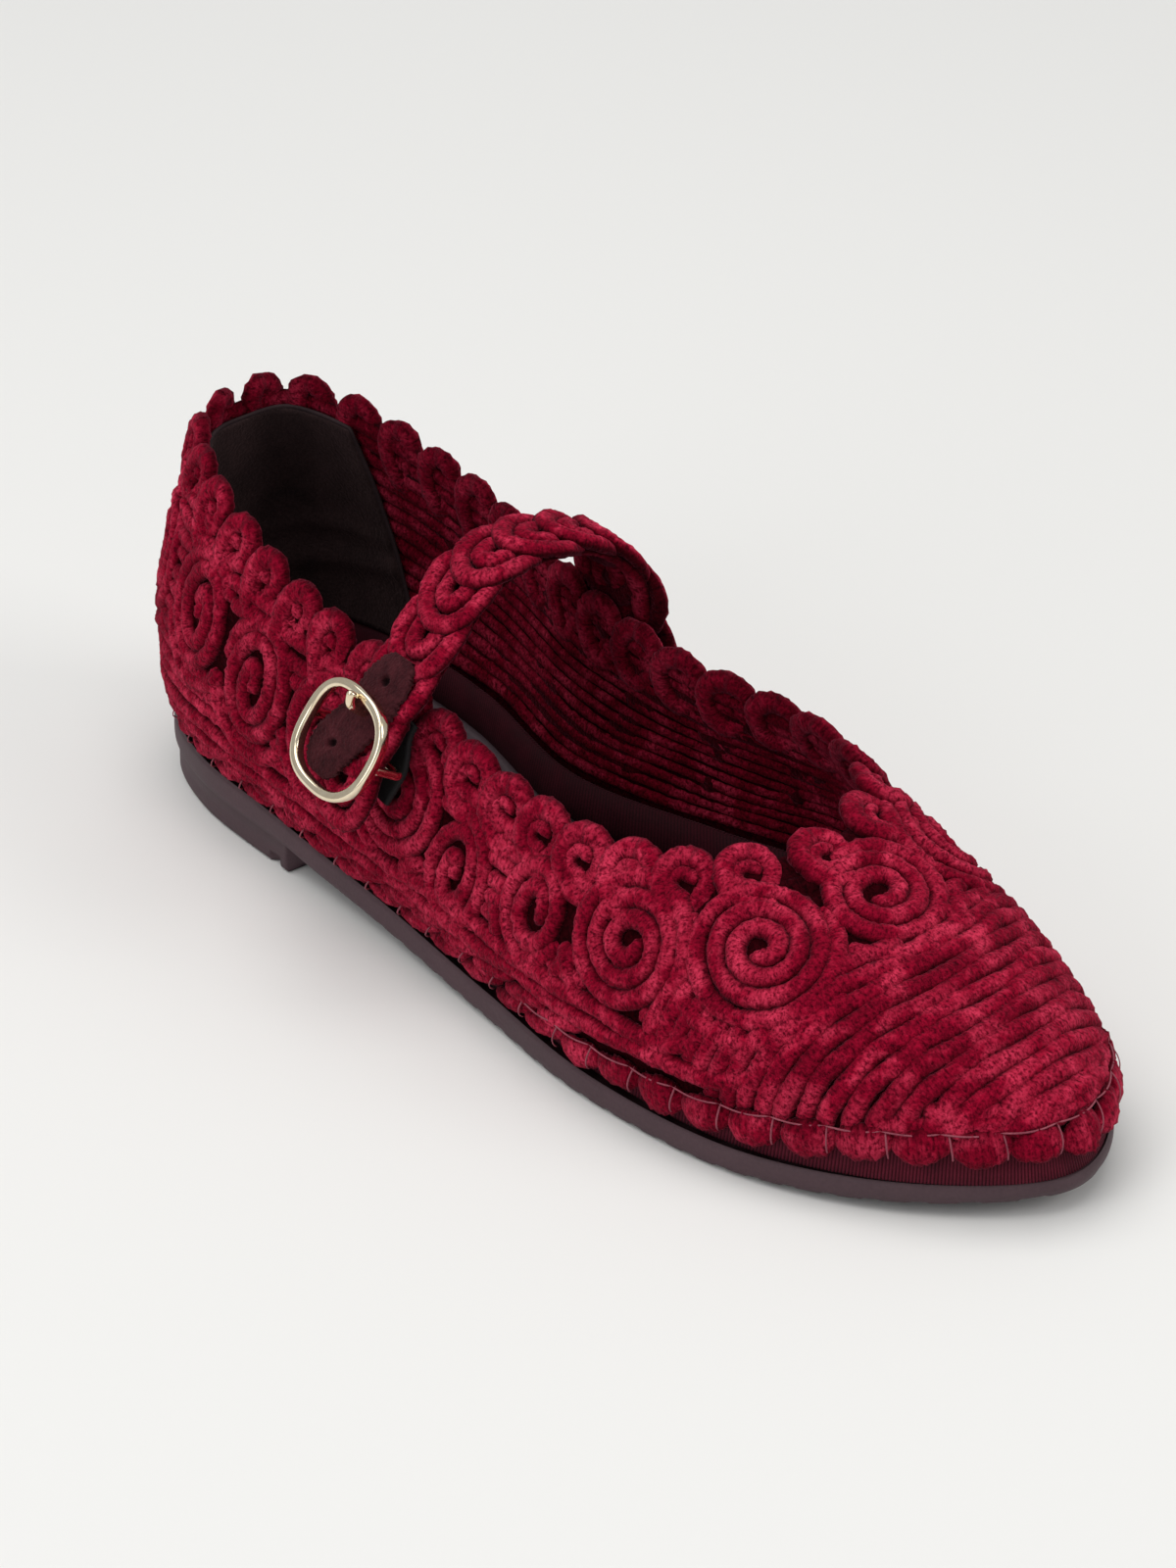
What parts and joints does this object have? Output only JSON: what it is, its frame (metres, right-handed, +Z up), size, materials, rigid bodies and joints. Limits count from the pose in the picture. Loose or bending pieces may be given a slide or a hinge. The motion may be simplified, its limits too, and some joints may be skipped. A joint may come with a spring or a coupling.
{
  "type": "mary jane shoe",
  "caption": "Right mary jane flat of deep red chenille cord wound into rosettes, with a looped collar, a buckled cord strap and a low-heeled rubber sole.",
  "frame": {"origin": "on the floor under the middle of the whole shoe", "axes": "+Y towards the toe, +X towards the outer side of a right shoe, +Z up"},
  "size_m": [0.0942, 0.2544, 0.0803],
  "materials": {
    "chenille": "matte",
    "rubber": "satin",
    "footbed": "matte",
    "ribbon": "matte",
    "lining": "matte",
    "suede": "matte",
    "gold": "polished",
    "webbing": "matte"
  },
  "bodies": {
    "root": {"outsole": "rubber", "insole": "footbed", "ribbon_band": "ribbon", "upper": "chenille", "heel_lining": "lining", "strap": "chenille", "strap_patch": "suede", "buckle_frame": "gold", "buckle_prong": "gold", "elastic_loop": "webbing"}
  },
  "joints": []
}
